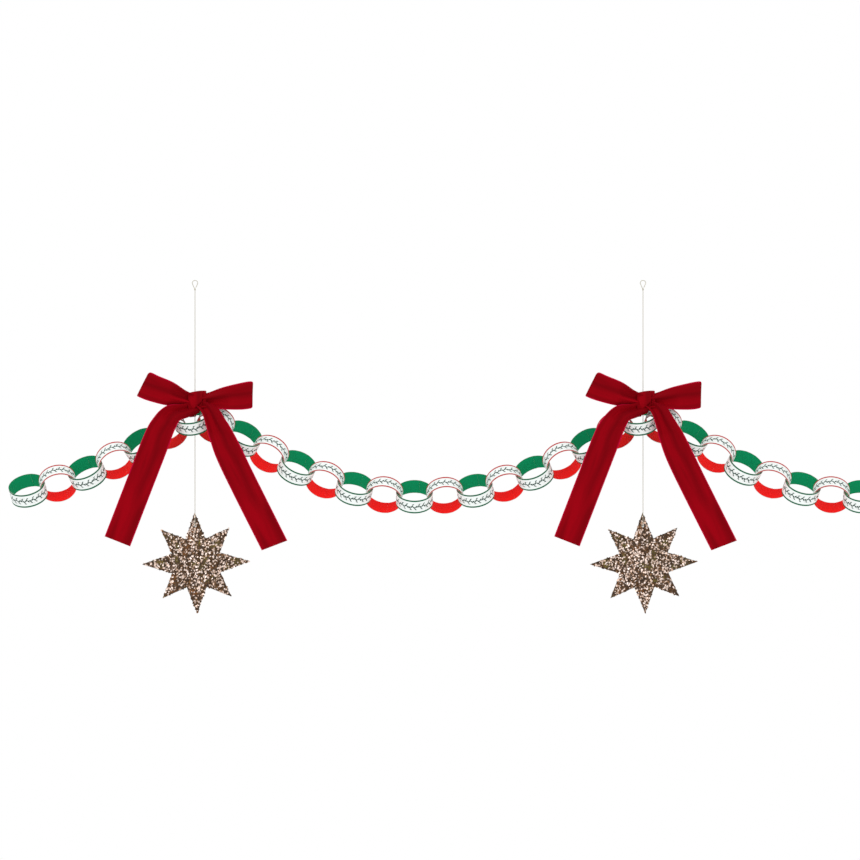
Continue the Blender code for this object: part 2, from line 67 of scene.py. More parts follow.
lens = bpy.data.cameras.new("long_lens")
lens.sensor_width = SENSOR
lens.lens = SENSOR * CAMERA_DISTANCE / PICTURE_WIDTH
lens.clip_end = FARTHEST_SEEN
camera = bpy.data.objects.new("camera", lens)
camera.location = PICTURE_MIDDLE + Vector((0.0, -CAMERA_DISTANCE, 0.0))
camera.rotation_euler = (math.pi / 2, 0.0, 0.0)
bpy.context.scene.collection.objects.link(camera)
bpy.context.scene.camera = camera
bpy.context.scene.view_settings.view_transform = "Standard"
print("lens:", round(lens.lens), "mm")

# %% [markdown]
# Shader maths reads best as plain expressions. The class below wraps one output socket, and its operators add
# Math nodes behind it. Any other node comes from one method, which sets the node's settings first and then
# fills or links its sockets.


# %% Sockets that can be added and multiplied
class Wire:
    """One output socket of a material's node, ready for sums."""

    def __init__(self, paint, socket):
        self.paint = paint
        self.socket = socket

    def maths(self, operation, *others):
        return self.paint.node("ShaderNodeMath", {"operation": operation}, (self,) + others)

    def __add__(self, other):
        return self.maths("ADD", other)

    def __sub__(self, other):
        return self.maths("SUBTRACT", other)

    def __mul__(self, other):
        return self.maths("MULTIPLY", other)

    def __truediv__(self, other):
        return self.maths("DIVIDE", other)

    def __rsub__(self, other):
        return self.paint.node("ShaderNodeMath", {"operation": "SUBTRACT"}, (other, self))

    __radd__ = __add__
    __rmul__ = __mul__


class Paint:
    """A material, its Principled shader and the nodes that feed it."""

    def __init__(self, name, **uniform):
        self.material = bpy.data.materials.new(name)
        self.material.use_nodes = True
        self.tree = self.material.node_tree
        self.shader = self.tree.nodes["Principled BSDF"]
        for socket, value in uniform.items():
            self.shader.inputs[socket.replace("_", " ")].default_value = value

    def node(self, kind, settings=None, inputs=(), output=0):
        made = self.tree.nodes.new(kind)
        for key, value in (settings or {}).items():
            if key == "stops":
                self.stops(made.color_ramp, value)
            else:
                setattr(made, key, value)
        pairs = inputs.items() if isinstance(inputs, dict) else enumerate(inputs)
        for key, value in pairs:
            if isinstance(value, Wire):
                self.tree.links.new(value.socket, made.inputs[key])
            else:
                made.inputs[key].default_value = value
        return Wire(self, made.outputs[output])

    def stops(self, ramp, rows):
        while len(ramp.elements) < len(rows):
            ramp.elements.new(0.5)
        for element, (place, colour) in zip(ramp.elements, rows):
            element.position = place
            element.color = (*colour, 1.0)

    def feed(self, socket, wire):
        self.tree.links.new(wire.socket, self.shader.inputs[socket])

    def fade(self, wire, start, end):
        """0 before start and 1 after end, smooth between them."""
        settings = {"interpolation_type": "SMOOTHSTEP"}
        return self.node("ShaderNodeMapRange", settings, {0: wire, 1: start, 2: end, 3: 0.0, 4: 1.0})

    def mix(self, share, first, second):
        """Two colours mixed. A colour is a tuple or a wire."""
        first = first if isinstance(first, Wire) else (*first, 1.0)
        second = second if isinstance(second, Wire) else (*second, 1.0)
        return self.node("ShaderNodeMix", {"data_type": "RGBA"}, {0: share, 6: first, 7: second}, output=2)

    def noise(self, scale, detail=2.0, vector=None, roughness=0.5):
        inputs = {"Scale": scale, "Detail": detail, "Roughness": roughness}
        inputs["Vector"] = vector or self.node("ShaderNodeTexCoord", output=3)
        return self.node("ShaderNodeTexNoise", {}, inputs)

    def bump(self, height, distance, strength=1.0):
        inputs = {"Strength": strength, "Distance": distance, "Height": height}
        self.feed("Normal", self.node("ShaderNodeBump", {}, inputs))


def ink(red, green, blue):
    """A colour as a paint chart gives it, 0 to 255, turned into the light that the shader works in."""
    found = []
    for value in (red, green, blue):
        share = value / 255
        found.append(share / 12.92 if share <= 0.04045 else ((share + 0.055) / 1.055) ** 2.4)
    return tuple(found)


print("shader helpers ready")

# %% [markdown]
# The outside of every strip is white with a running sprig printed down the middle and a coloured line along
# both edges. The print is drawn by maths on the strip's own coordinates, which run in metres along and across
# it. One sprig is a wavy stem with a few pointed leaves. It repeats along the strip, and every second one is
# turned over, which is how such borders are usually drawn. A picture of the print would do as well from afar,
# but what maths draws stays sharp at any distance and needs no file.

# %% The sprig print
STRIP_WIDTH = 24 * MM
SPRIG = 13 * MM
STEM_WAVE = 0.8
STEM_DRIFT = 1.2
EDGE_LINE = (0.0, 2.7 * MM)
# Where each shape's ink starts to fade and where it is gone. A stem counts mm from its line, a leaf shares of
# its outline, and a berry square mm from its middle.
STEM_FADE = (0.24, 0.48)
LEAF_FADE = (0.82, 1.12)
BERRY_FADE = (0.22, 0.50)
LEAVES = (
    # along and across the sprig's cell in mm, lean in degrees, half length and half width in mm
    (-4.9, 1.0, 52, 3.1, 1.10),
    (-1.6, -0.9, 126, 3.2, 1.10),
    (1.9, 1.1, 50, 3.2, 1.15),
    (5.0, -0.8, 128, 3.0, 1.05),
    (-3.2, 4.5, 24, 2.0, 0.85),
    (0.1, -4.6, 152, 2.1, 0.85),
    (4.0, 4.5, 26, 2.0, 0.85),
)
BERRIES = ((-5.6, 5.0), (0.4, 5.2))


def strip_coordinates(paint):
    """A strip's own coordinates as one vector, and its first and second part as numbers."""
    vector = paint.node("ShaderNodeUVMap", {"uv_map": "strip"})
    first = paint.node("ShaderNodeSeparateXYZ", {}, (vector,))
    second = Wire(paint, first.socket.node.outputs[1])
    return vector, first, second


def strip_millimetres(paint):
    """Millimetres along and across a strip."""
    _, along, across = strip_coordinates(paint)
    return along * 1000, across * 1000


def sprig_mask(paint, along, across):
    """1 on the printed stem and leaves, with the place along and across in the sprig's own cell."""
    cell = SPRIG / MM
    number = (along / cell).maths("FLOOR")
    flip = 1 - number.maths("FLOORED_MODULO", 2.0) * 2
    wobble = paint.node("ShaderNodeTexWhiteNoise", {"noise_dimensions": "1D"}, {"W": number})
    side = across * flip + (wobble - 0.5) * STEM_DRIFT
    place = along.maths("FLOORED_MODULO", cell) - cell / 2
    stem = (side - (place * (math.tau / cell)).maths("SINE") * STEM_WAVE).maths("ABSOLUTE")
    mask = 1 - paint.fade(stem, *STEM_FADE)
    for x, y, lean, half_length, half_width in LEAVES:
        turn = math.radians(lean)
        dx, dy = place - x, side - y
        a = dx * (math.cos(turn) / half_length) + dy * (math.sin(turn) / half_length)
        b = (dy * (math.cos(turn) / half_width) - dx * (math.sin(turn) / half_width)).maths("ABSOLUTE")
        leaf = 1 - paint.fade(b + a * a, *LEAF_FADE)
        mask = mask.maths("MAXIMUM", leaf)
    return mask, place, side


def berry_mask(paint, place, side):
    """1 on the round berries."""
    mask = None
    for x, y in BERRIES:
        dx, dy = place - x, side - y
        dot = 1 - paint.fade(dx * dx + dy * dy, *BERRY_FADE)
        mask = dot if mask is None else mask.maths("MAXIMUM", dot)
    return mask


def card_surface(paint, grain=0.35):
    """The light tooth of uncoated card, the same on every face."""
    fibre = paint.noise(2600.0, 3.0)
    cloud = paint.noise(120.0, 2.0)
    paint.feed("Roughness", fibre * 0.10 + cloud * 0.08 + 0.50)
    paint.bump(fibre * 0.6 + cloud * 0.4, 0.00006, grain)


def printed_card(name, line_colour, print_colour):
    """The white outside with its sprigs, berries and edge lines."""
    paint = Paint(name, Specular_IOR_Level=0.2)
    along, across = strip_millimetres(paint)
    leaves, place, side = sprig_mask(paint, along, across)
    from_edge = STRIP_WIDTH / MM / 2 - across.maths("ABSOLUTE")
    near, far = EDGE_LINE[0] / MM, EDGE_LINE[1] / MM
    line = paint.fade(from_edge, near - 0.1, near + 0.1) - paint.fade(from_edge, far - 0.12, far + 0.12)
    uneven = paint.noise(900.0, 2.0) * 0.3 + 0.83
    paper = paint.mix(paint.noise(60.0, 2.0), ink(248, 253, 251), ink(240, 247, 244))
    with_berries = paint.mix(berry_mask(paint, place, side) * 0.45, paper, ink(176, 66, 60))
    with_leaves = paint.mix((leaves * uneven).maths("MINIMUM", 1.0), with_berries, print_colour)
    paint.feed("Base Color", paint.mix(line, with_leaves, line_colour))
    card_surface(paint)
    return paint.material


def lining_card(name, colour, deep):
    """The plain coloured inside, a little deeper at the strip's edges where the ink gathers."""
    paint = Paint(name, Specular_IOR_Level=0.08)
    _, across = strip_millimetres(paint)
    from_edge = STRIP_WIDTH / MM / 2 - across.maths("ABSOLUTE")
    rim = 1 - paint.fade(from_edge, 0.1, 1.1)
    cloud = paint.noise(170.0, 3.0)
    paint.feed("Base Color", paint.mix(cloud * 0.2 + rim * 0.55, colour, deep))
    card_surface(paint, 0.12)
    return paint.material


def card_core(name):
    """The cut edge of the card: off-white, with the layers of the board just showing."""
    paint = Paint(name, Specular_IOR_Level=0.3)
    layers = paint.noise(5200.0, 2.0)
    paint.feed("Base Color", paint.mix(layers, ink(226, 226, 218), ink(196, 198, 190)))
    card_surface(paint, 0.5)
    return paint.material


GREEN_PRINT = ink(4, 60, 44)
green_edged = printed_card("sprig_print_green_lines", ink(0, 98, 64), GREEN_PRINT)
red_edged = printed_card("sprig_print_red_lines", ink(186, 30, 30), GREEN_PRINT)
green_lining = lining_card("green_lining", ink(0, 152, 98), ink(0, 116, 72))
red_lining = lining_card("red_lining", ink(254, 26, 22), ink(216, 12, 16))
core = card_core("cut_card_edge")
print("card finishes:", [finish.name for finish in (green_edged, red_edged, green_lining, red_lining, core)])

# %% [markdown]
# A ring is one strip wound once round and glued where its ends lap. The mesh is that strip: it starts at the
# inner end, goes round, climbs by one card's thickness and ends on top of its own beginning. A short tube
# would be quicker to make, but it has no glued lap and no start for the print to run from. Stiff card stays
# almost round, and only the hooked ends pull it a little out of true.

# %% Winding a strip into a ring
RING_HALF_LENGTH = 27.3 * MM
RING_HALF_HEIGHT = 25.6 * MM
CARD = 0.3 * MM
GLUED_OVERLAP = 15 * MM
CLIMB = 7 * MM
GLUE = 0.02 * MM
RING_STEPS = 132
CORNER = 0.06 * MM
# The material slots, and the sides of the strip's section that don't show the cut edge.
OUTSIDE, LINING, CUT_EDGE = 0, 1, 2
SIDE_SLOTS = {0: LINING, 4: OUTSIDE}


def ring_point(angle, offset):
    """A point of the ring's section, moved out from the inner ellipse along its normal."""
    x, y = RING_HALF_LENGTH * math.cos(angle), RING_HALF_HEIGHT * math.sin(angle)
    nx, ny = x / RING_HALF_LENGTH**2, y / RING_HALF_HEIGHT**2
    size = math.hypot(nx, ny)
    return x + nx / size * offset, y + ny / size * offset


def strip_section(half):
    """Corners of the strip's section as across and up, with the cut edges a little rounded."""
    inner, outer = 0.0, CARD
    return [
        (-half + CORNER, inner), (half - CORNER, inner), (half, inner + CORNER), (half, outer - CORNER),
        (half - CORNER, outer), (-half + CORNER, outer), (-half, outer - CORNER), (-half, inner + CORNER),
    ]


def climb_share(angle, first):
    """How far the strip has climbed onto its own start, 0 to 1."""
    top = first + 2 * math.pi
    start = top - CLIMB / RING_HALF_LENGTH
    share = min(max((angle - start) / (top - start), 0.0), 1.0)
    return share * share * (3 - 2 * share)


def ring_rows(slack):
    """Angle, lift and distance along the strip at each station."""
    lap = GLUED_OVERLAP / RING_HALF_LENGTH
    first = math.pi / 2 - lap / 2
    rows, run, last = [], 0.0, None
    for k in range(RING_STEPS + 1):
        angle = first + (2 * math.pi + lap) * k / RING_STEPS
        lift = (CARD + GLUE) * climb_share(angle, first)
        here = ring_point(angle, lift)
        if last:
            run += math.dist(here, last)
        last = here
        rows.append((angle, lift + slack * math.sin(3 * angle), run))
    return rows


def wind_ring(name, start, slack, outside, lining):
    """A ring mesh with its strip coordinates. start shifts the print along the strip."""
    rows = ring_rows(slack)
    section = strip_section(STRIP_WIDTH / 2)
    sides = len(section)
    points, faces, finish, marks = [], [], [], []
    for angle, lift, run in rows:
        for across, up in section:
            points.append((*ring_point(angle, lift + up), across))
    for k in range(len(rows) - 1):
        for j in range(sides):
            i = (j + 1) % sides
            faces.append((sides * k + j, sides * (k + 1) + j, sides * (k + 1) + i, sides * k + i))
            finish.append(SIDE_SLOTS.get(j, CUT_EDGE))
            ends = (rows[k][2] + start, rows[k + 1][2] + start)
            marks += [(ends[0], section[j][0]), (ends[1], section[j][0])]
            marks += [(ends[1], section[i][0]), (ends[0], section[i][0])]
    for k, turned in ((0, False), (len(rows) - 1, True)):
        cap = [sides * k + j for j in range(sides)]
        faces.append(tuple(cap[::-1] if turned else cap))
        finish.append(CUT_EDGE)
        marks += [(rows[k][2] + start, 0.0)] * sides
    mesh = bpy.data.meshes.new(name)
    mesh.from_pydata(points, [], faces)
    for slot_material in (outside, lining, core):
        mesh.materials.append(slot_material)
    layer = mesh.uv_layers.new(name="strip")
    for index, mark in enumerate(marks):
        layer.data[index].uv = mark
    for polygon, kind in zip(mesh.polygons, finish):
        polygon.material_index = kind
        polygon.use_smooth = True
    mesh.set_sharp_from_angle(angle=math.radians(35))
    return mesh


print("strip length:", round(ring_rows(0.0)[-1][2] / MM, 1), "mm")

# %% [markdown]
# Where a ring hangs is read from its solid. The solid is the same on both sides of its middle, so the
# direction in which its points spread least is exactly the ring's own axis. Its long axis lies in the plane
# of the chain, so the axis alone fixes how it is turned.


# %% Finding how each ring hangs
def ring_place(node):
    """The matrix that carries a ring about the origin to where a solid ring hangs."""
    points = np.array([nodes[node].matrix_world @ v.co for v in nodes[node].data.vertices])
    middle = points.mean(0)
    axis = np.linalg.svd(points - middle, full_matrices=False)[2][2]
    if axis[2] < 0:
        axis = -axis
    slope = math.atan2(-axis[0], axis[2])
    lean = math.atan2(-axis[1], math.hypot(axis[0], axis[2]))
    turn = Matrix.Rotation(-slope, 3, "Y") @ Matrix.Rotation(lean, 3, "X")
    local = (points - middle) @ np.array(turn)
    low, high = local.min(0), local.max(0)
    shift = (low + high) / 2
    shift[1] = low[1] + RING_HALF_HEIGHT + CARD
    return Matrix.Translation(Vector(middle) + turn @ Vector(shift)) @ turn.to_4x4()


ring_names = sorted((name for name in nodes if "_link_" in name), key=lambda name: name[-2:])
ring_matrices = {name: ring_place(name) for name in ring_names}
first_lean = math.degrees(ring_matrices[ring_names[0]].to_euler().x)
print("rings:", len(ring_names), "first leans", round(first_lean))

# %% [markdown]
# All rings are cut from the same long printed roll, so each starts at another place of the print. Each also
# bulges by its own few hundredths of a millimetre. Copies of one mesh would be lighter, but they would show
# the same sprig at the same place on every ring.

# %% Hanging the rings
SLACK = 0.08 * MM
ROLL_LENGTH = 0.4
draw = np.random.default_rng(11)


def add_piece(name, mesh):
    """A new object with this mesh, in the scene."""
    piece = bpy.data.objects.new(name, mesh)
    bpy.context.scene.collection.objects.link(piece)
    return piece


for name in ring_names:
    green = name.startswith("green")
    outside, lining = (green_edged, green_lining) if green else (red_edged, red_lining)
    start, slack = draw.uniform(0, ROLL_LENGTH), draw.uniform(-SLACK, SLACK)
    ring = add_piece("card_ring_" + name[-2:], wind_ring(name + "_strip", start, slack, outside, lining))
    ring.matrix_world = ring_matrices[name]
    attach(ring, "root")
    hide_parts(name)
print("rings dressed:", len(ring_names))

# %% [markdown]
# The bows are tied from one length of velvet ribbon. Velvet is dark where its pile points at you and bright
# at a grazing angle, which the shader's sheen gives. Its cut pile is bump. Its colour shifts in long streaks,
# partly with the way that the pile was stroked and partly as painted shade and light for the ribbon's gentle
# curve. The woven edges are a brighter pink, partly their weave and partly a painted sheen along the rim.
# Real hairs would be very many, and too short to show from here.


# %% Velvet
RIBBON_WIDTH = 41 * MM


def velvet_ribbon(name):
    paint = Paint(name, Specular_IOR_Level=0.05, Sheen_Weight=0.35, Sheen_Roughness=0.4)
    paint.shader.inputs["Sheen Tint"].default_value = (*ink(206, 0, 52), 1.0)
    vector, _, _ = strip_coordinates(paint)
    along, across = strip_millimetres(paint)
    # Long streaks along the ribbon: partly the way that the pile was stroked, partly painted shade and light
    # for the ribbon's curve.
    stretched = paint.node("ShaderNodeMapping", {}, {0: vector, 3: (7.0, 55.0, 1.0)})
    stroke_and_painted_shade = paint.noise(1.0, 2.0, vector=stretched)
    pile = paint.noise(4200.0, 2.0, roughness=0.7)
    base = paint.mix(paint.fade(stroke_and_painted_shade, 0.30, 0.72), ink(116, 0, 9), ink(150, 0, 15))
    base = paint.mix(paint.fade(pile, 0.45, 0.75) * 0.30, base, ink(96, 0, 6))
    # The brighter pink at the edges is partly the woven edge and partly a painted sheen, the bright rim of
    # velvet where it turns away.
    from_edge = RIBBON_WIDTH / MM / 2 - across.maths("ABSOLUTE")
    selvedge_and_sheen = (1 - paint.fade(from_edge, 0.5, 2.3)) * paint.fade(along, 14, 42)
    base = paint.mix(selvedge_and_sheen * 0.85, base, ink(190, 4, 56))
    paint.feed("Base Color", base)
    paint.feed("Roughness", pile * 0.12 + 0.80)
    paint.bump(pile, 0.00022, 0.55)
    return paint.material


velvet = velvet_ribbon("crimson_velvet_ribbon")
print("velvet ready")

# %% [markdown]
# Each band of the bow is swept along a smooth curve through a few chosen stations. A station says where the
# ribbon's middle is, which way its width lies and how much of the width is left between the pleats. The
# pleats are a wave whose depth follows from that share, so that the ribbon keeps its real width. A cloth
# simulation could drape such a bow too, but its folds would land where they please.

# %% Sweeping a pleated band
RIBBON = 1.2 * MM
KNOT_LEFT, KNOT_RIGHT = -9.5 * MM, 17.2 * MM
KNOT_HALF_HEIGHT = 15.8 * MM
KNOT_HALF_DEPTH = 11.0 * MM
KNOT_Y = -6.0 * MM
KNOT_LIFT = 1.7 * MM
FOLD_RADIUS = 3.4 * MM
LOOP_REACH_LEFT, LOOP_REACH_RIGHT = 78 * MM, 86.5 * MM
LOOP_RISE_LEFT, LOOP_RISE_RIGHT = 24.7 * MM, 9.5 * MM
# The width's angle in degrees at the knot and at the fold.
LOOP_ANGLES_LEFT, LOOP_ANGLES_RIGHT = (84, 64), (96, 88)
LOOP_BULGE = 3.5 * MM
LOOP_FACE = 0.45  # a loop's front and back lie this share of the knot's half depth from its middle
LOOP_ROOT = 0.3  # a loop starts at this share of the way from the knot's middle to the knot's end
BOW_ABOVE_RING = 26.7 * MM
GREEN_LEAN = math.radians(36)
CHAIN_BEHIND_THREAD = 11 * MM
PEAK_TO_THREAD = 4.8 * MM
PEAK_TILT = math.radians(8)
TAIL_CLEARANCE = 2.5 * MM
PLEATS = 1.5
GATHERS = 0.16
FLAT_FROM = 0.89
PLEATS_GROW_OVER = 0.05
FOLD_SHARE = 0.90
# Where the stations of a loop's front lie, as shares of the way out, and the width that each keeps there.
LOOP_STATIONS = (0.0, 0.18, 0.45, 0.78)
LEFT_SHARES = (0.52, 0.60, 0.88, 0.98)
RIGHT_SHARES = (0.50, 0.54, 0.80, 0.98)
BACK_KEEPS = (0.98, 0.84, 0.74, 0.80)
# The cloth wanders a little out of its line, in a long and a short wave, and thins at its woven edges.
LOOP_WANDER, TAIL_WANDER = 0.35 * MM, 0.5 * MM
LONG_WAVE, SHORT_WAVE = 31 * MM, 17 * MM
THIN_FROM = 0.47
STRAP_WIDTH = 10 * MM
STRAP_ROOM = 3.2 * MM
STRAP_CLEARANCE = 0.5 * MM


def smooth(rows, per_span):
    """Rows of numbers, with rows filled in between them on a Catmull-Rom curve."""
    data = np.array(rows, float)
    ends = np.concatenate([[2 * data[0] - data[1]], data, [2 * data[-1] - data[-2]]])
    found = []
    for k in range(len(data) - 1):
        p0, p1, p2, p3 = ends[k : k + 4]
        for step in range(per_span):
            t = step / per_span
            cubic = (3 * (p1 - p2) + p3 - p0) * t**3
            found.append(0.5 * (2 * p1 + (p2 - p0) * t + (2 * p0 - 5 * p1 + 4 * p2 - p3) * t**2 + cubic))
    return np.array(found + [data[-1]])


def pleat_depth(share, pleats):
    """How deep the pleats are. A ribbon near its full width has none left, so that its folds are straight."""
    left = min(max((FLAT_FROM - share) / PLEATS_GROW_OVER, 0.0), 1.0)
    return left * RIBBON_WIDTH * share / (math.pi * pleats) * math.sqrt(max(1 / share - 1, 0.0))


def sweep_band(rows, pleats, per_span, across=26, width=RIBBON_WIDTH, wander=0.0, phase=0.0):
    """Points, faces and strip coordinates of one closed band."""
    path = smooth(rows, per_span)
    middles = [Vector(row[:3]) for row in path]
    points, marks, run = [], [], 0.0
    for k, row in enumerate(path):
        ahead = middles[min(k + 1, len(path) - 1)] - middles[max(k - 1, 0)]
        run += (middles[k] - middles[max(k - 1, 0)]).length
        ahead.normalize()
        side = Vector((math.cos(row[3]), 0.0, math.sin(row[3])))
        out = ahead.cross(side).normalized()
        depth = pleat_depth(row[4], pleats)
        for face in (-0.5, 0.5):
            for j in range(across + 1):
                t = j / across - 0.5
                rim = 1 - 0.5 * max(0.0, abs(t) - THIN_FROM) / (0.5 - THIN_FROM)
                wave = depth * (math.sin(2 * math.pi * pleats * t) + GATHERS * math.sin(23 * t + 2 * phase))
                wave += wander * math.sin(run / LONG_WAVE + phase) * math.cos(math.pi * t)
                wave += wander * 0.6 * math.sin(run / SHORT_WAVE + 2.0 * phase + 3 * t)
                points.append(middles[k] + side * (t * width * row[4]) + out * (wave + face * RIBBON * rim))
                marks.append((run, t * RIBBON_WIDTH))
    ring = list(range(across + 1)) + list(range(2 * across + 1, across, -1))
    size = 2 * (across + 1)
    faces = [ring[::-1], [size * (len(path) - 1) + i for i in ring]]
    for k in range(len(path) - 1):
        for a, b in zip(ring, ring[1:] + ring[:1]):
            faces.append((size * k + a, size * k + b, size * (k + 1) + b, size * (k + 1) + a))
    return points, faces, marks


def loop_rows(way, reach, rise, angles, shares):
    """A bow loop: out from the knot in front, round the fold and back behind."""
    front, back = KNOT_Y - LOOP_FACE * KNOT_HALF_DEPTH, KNOT_Y + LOOP_FACE * KNOT_HALF_DEPTH
    start_angle, end_angle = (math.radians(angle) for angle in angles)
    root = LOOP_ROOT * (KNOT_LEFT if way < 0 else KNOT_RIGHT)
    fold = way * reach
    rows = []
    for t, share in zip(LOOP_STATIONS, shares):
        x = root + (fold - root) * t
        y = front - LOOP_BULGE * math.sin(math.pi * t)
        angle = start_angle + (end_angle - start_angle) * t
        rows.append((x, y, rise * t, angle, share))
    half = (front + back) / 2
    inset = fold - way * FOLD_RADIUS
    turn = [(inset, half - FOLD_RADIUS, 1.0), (fold, half, FOLD_SHARE), (inset, half + FOLD_RADIUS, 1.0)]
    bend = [(x, y, rise, end_angle, share) for x, y, share in turn]
    behind = []
    for (x, y, z, angle, share), kept in zip(rows[::-1], BACK_KEEPS):
        lift = RIBBON_WIDTH * share * (1 - kept) / 2
        behind.append((x, 2 * half - y, z + lift, angle, share * kept))
    return rows + bend + behind


# Tail stations hold x and z from the knot's middle in ribbon widths, the width's angle in degrees, the share
# of width left, and how far forward the ribbon has come: 0 is the knot's depth and 1 is clear of the chain.
LEFT_TAIL = (
    (0.10, -0.20, -62, 0.46, 0.30),
    (-0.34, -0.34, -52, 0.54, 0.62),
    (-0.80, -0.46, -42, 0.74, 1.10),
    (-1.15, -0.93, -33, 0.93, 1.10),
    (-1.41, -1.51, -25, 1.0, 1.0),
    (-1.96, -2.93, -21, 1.0, 1.0),
    (-2.80, -5.11, -21.5, 1.0, 1.0),
)
RIGHT_TAIL = (
    (0.20, -0.05, 18, 0.50, 0.30),
    (0.54, -0.29, 24, 0.60, 0.95),
    (0.76, -0.73, 22, 0.72, 1.15),
    (1.01, -1.29, 18, 0.90, 1.12),
    (1.29, -1.95, 23, 0.99, 1.04),
    (1.83, -3.07, 26, 1.0, 1.0),
    (2.93, -5.26, 21, 1.0, 1.0),
)


def tail_rows(rows):
    """A tail's stations in metres. It runs in front of the chain, which reaches this far forward."""
    reach = (RING_HALF_HEIGHT + 2 * CARD) * math.cos(GREEN_LEAN) + STRIP_WIDTH / 2 * math.sin(GREEN_LEAN)
    front = CHAIN_BEHIND_THREAD - reach - TAIL_CLEARANCE - RIBBON / 2
    found = []
    for x, z, angle, share, forward in rows:
        y = KNOT_Y + (front - KNOT_Y) * forward
        found.append((x * RIBBON_WIDTH, y, z * RIBBON_WIDTH, math.radians(angle), share))
    return found


print("pleats at half width:", round(2 * pleat_depth(0.5, PLEATS) / MM, 1), "mm deep")

# %% [markdown]
# The knot is the ribbon wrapped once over the loops and tails. It is a short barrel with soft creases down
# it and deeper folds that run slantwise, as the last tuck of a hand-tied bow does. The creases are pressed
# into the barrel along straight pieces, which is easier to steer than sculpting. The strap is the turn of
# ribbon that goes round the back of the ring and carries the chain.


# %% The knot and the strap
# A crease runs on the knot's front from one point to another. A point is a share of the knot's width from
# its left end, and a height from -1 at the foot to 1 at the top. Then come the crease's depth and half width.
KNOT_CREASES = (
    ((0.84, 1.10), (0.80, -0.80), 0.20, 0.050),
    ((0.80, -0.10), (0.24, -0.95), 0.19, 0.060),
    ((0.02, 0.10), (0.24, -0.95), 0.14, 0.060),
    ((0.10, 0.75), (0.62, 0.30), 0.045, 0.080),
    ((0.98, 0.60), (0.90, -0.50), 0.05, 0.040),
)
KNOT_STATIONS, KNOT_SIDES = 61, 96
KNOT_WIDE = 1.6  # about the knot's width in half heights, so that a crease is as wide in every direction
# The ridge beside a crease: its share of the crease's depth, and its place in half widths of the crease.
RIDGE_SHARE, RIDGE_PLACE = 0.45, 2.2
# Behind the knot the strap starts and ends at these shares of the knot's half depth and half height.
STRAP_TOP = ((0.4, 0.30), (1.25, 0.16))
STRAP_FOOT = ((1.15, -0.55), (0.4, -0.45))


def off_segment(point, start, end):
    """Distance from a point to a straight piece between two others, all in the plane."""
    along = (end[0] - start[0], end[1] - start[1])
    away = (point[0] - start[0], point[1] - start[1])
    share = (away[0] * along[0] + away[1] * along[1]) / (along[0] ** 2 + along[1] ** 2)
    share = min(max(share, 0.0), 1.0)
    return math.hypot(away[0] - share * along[0], away[1] - share * along[1])


def crease_depth(t, height):
    """How far the creases press the knot in at a place, less the soft ridges that they push up."""
    depth = 0.0
    for start, end, pressed, half in KNOT_CREASES:
        flat_start, flat_end = (start[0] * KNOT_WIDE, start[1]), (end[0] * KNOT_WIDE, end[1])
        away = off_segment((t * KNOT_WIDE, height), flat_start, flat_end) / half
        depth += pressed * (math.exp(-(away**2)) - RIDGE_SHARE * math.exp(-((away - RIDGE_PLACE) ** 2)))
    return depth


def knot_band():
    """Points, faces and strip coordinates of the wrapped knot, a barrel that thins towards its ends."""
    stations, around = KNOT_STATIONS, KNOT_SIDES
    points, marks = [], []
    for k in range(stations):
        t = k / (stations - 1)
        barrel = math.sin(math.pi * t) ** 0.6
        deep, high = 0.80 + 0.20 * barrel, 0.88 + 0.10 * barrel
        for j in range(around):
            angle = 2 * math.pi * j / around
            swell = deep - crease_depth(t, math.sin(angle)) * max(-math.cos(angle), 0.0) ** 0.5
            y = KNOT_Y + KNOT_HALF_DEPTH * swell * math.cos(angle)
            z = KNOT_LIFT * (2 * t - 1) + KNOT_HALF_HEIGHT * high * math.sin(angle)
            points.append(Vector((KNOT_LEFT + (KNOT_RIGHT - KNOT_LEFT) * t, y, z)))
            marks.append((angle * KNOT_HALF_HEIGHT, (t - 0.5) * RIBBON_WIDTH * 0.85))
    faces = [tuple(range(around))[::-1], tuple(range(around * (stations - 1), around * stations))]
    for k in range(stations - 1):
        for j in range(around):
            a, b = around * k + j, around * k + (j + 1) % around
            faces.append((a, b, b + around, a + around))
    return points, faces, marks


def ring_plane_point(v, w):
    """A point beside the leaning peak ring, v out from its middle and w along its axis, as y and z."""
    y = v * math.cos(GREEN_LEAN) - w * math.sin(GREEN_LEAN)
    z = v * math.sin(GREEN_LEAN) + w * math.cos(GREEN_LEAN)
    return y + CHAIN_BEHIND_THREAD, z - BOW_ABOVE_RING


def strap_band():
    """The narrow turn round the back of the ring, which leans with the ring."""
    card_middle = RING_HALF_HEIGHT + CARD
    low = -STRIP_WIDTH / 2 - STRAP_CLEARANCE - RIBBON / 2 + STRAP_ROOM
    outer, inner = card_middle + STRAP_ROOM, card_middle - STRAP_ROOM
    route = [ring_plane_point(outer, w) for w in (STRIP_WIDTH / 2, 0.0, low)]
    for degrees in (-45, -90, -135):
        turn = math.radians(degrees)
        round_edge = card_middle + STRAP_ROOM * math.cos(turn), low + STRAP_ROOM * math.sin(turn)
        route.append(ring_plane_point(*round_edge))
    route += [ring_plane_point(inner, w) for w in (low, 0.0)]
    top, foot = (
        [(KNOT_Y + deep * KNOT_HALF_DEPTH, high * KNOT_HALF_HEIGHT) for deep, high in shares]
        for shares in (STRAP_TOP, STRAP_FOOT)
    )
    rows = [(-PEAK_TO_THREAD, y, z, 0.0, 1.0) for y, z in top + route + foot]
    points, faces, marks = sweep_band(rows, 1, 6, across=10, width=STRAP_WIDTH)
    lean = Matrix.Rotation(-PEAK_TILT, 3, "Y")
    ring_middle = Vector((-PEAK_TO_THREAD, CHAIN_BEHIND_THREAD, -BOW_ABOVE_RING))
    return [ring_middle + lean @ (p - ring_middle) for p in points], faces, marks


